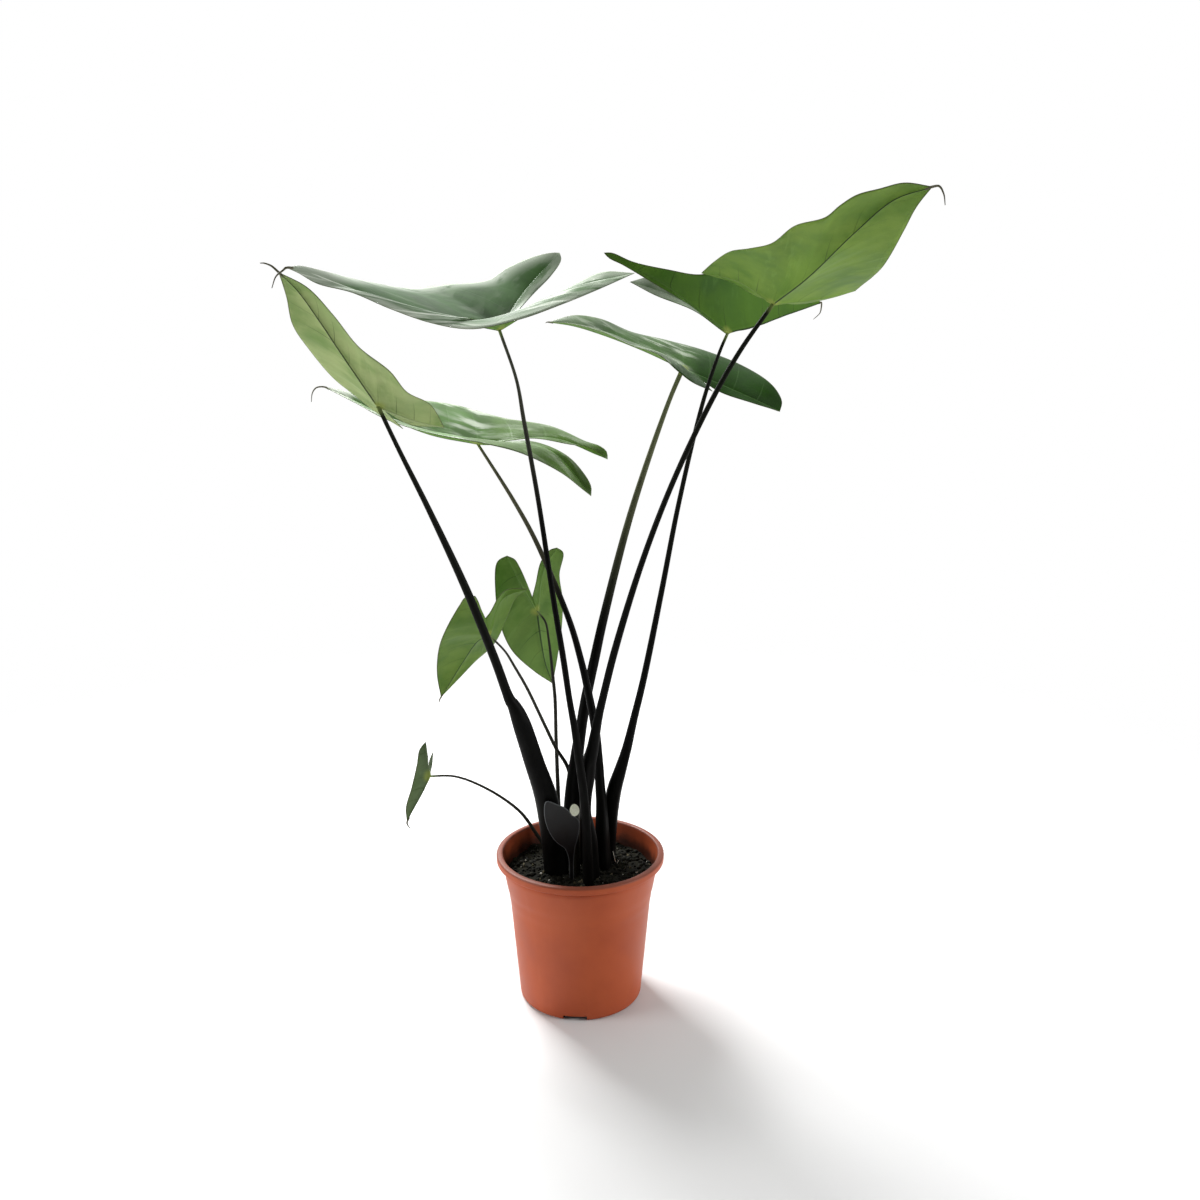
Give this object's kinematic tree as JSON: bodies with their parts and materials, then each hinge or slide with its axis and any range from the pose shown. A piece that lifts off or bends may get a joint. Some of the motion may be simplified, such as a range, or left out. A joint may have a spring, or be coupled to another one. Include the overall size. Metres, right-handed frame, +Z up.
{
  "type": "potted black stem alocasia zebrina",
  "caption": "Arrow-leaved aroid house plant with dark stems, standing in a round tapered plastic nursery pot filled with soil, with a blank plant label.",
  "frame": {"origin": "centre of the pot's underside, on its centre pad", "axes": "+Z up along the pot's axis, -Y towards the front of the plant, +X to the viewer's right"},
  "size_m": [0.5868, 0.5527, 0.8663],
  "materials": {
    "pot_plastic": "moulded terracotta-coloured plastic, satin",
    "potting_soil": "dark loose potting soil, rough",
    "label_plastic": "black plastic sheet, satin",
    "cut_stem": "cut plant stem, dark skin with a pale cut face",
    "leaf_olive": "leaf blade, pale olive underside",
    "leaf_green": "leaf blade, glossy green with pale veins",
    "leaf_dark": "leaf blade, darker green underside",
    "leaf_fresh": "young leaf blade, fresh green",
    "stem_black": "near-black smooth plant stem with a faint sheen",
    "stem_olive": "dark plant stem, olive green towards its top",
    "stem_brown": "thin grey-brown plant stem"
  },
  "bodies": {
    "root": {"pot": "pot_plastic", "soil": "potting_soil", "plant_label": "label_plastic", "cut_petiole": "cut_stem", "blade_left_upright": "leaf_olive", "petiole_left_upright": "stem_black", "blade_left_middle": "leaf_green", "petiole_left_middle": "stem_black", "blade_left_top": "leaf_green", "petiole_left_top": "stem_black", "blade_right_back": "leaf_green", "petiole_right_back": "stem_olive", "blade_right_top": "leaf_green", "petiole_right_top": "stem_black", "blade_right_inner": "leaf_dark", "petiole_right_inner": "stem_black", "blade_low_left": "leaf_fresh", "petiole_low_left": "stem_brown", "blade_low_right": "leaf_fresh", "petiole_low_right": "stem_brown", "blade_small_left": "leaf_fresh", "petiole_small_left": "stem_brown"}
  },
  "joints": []
}
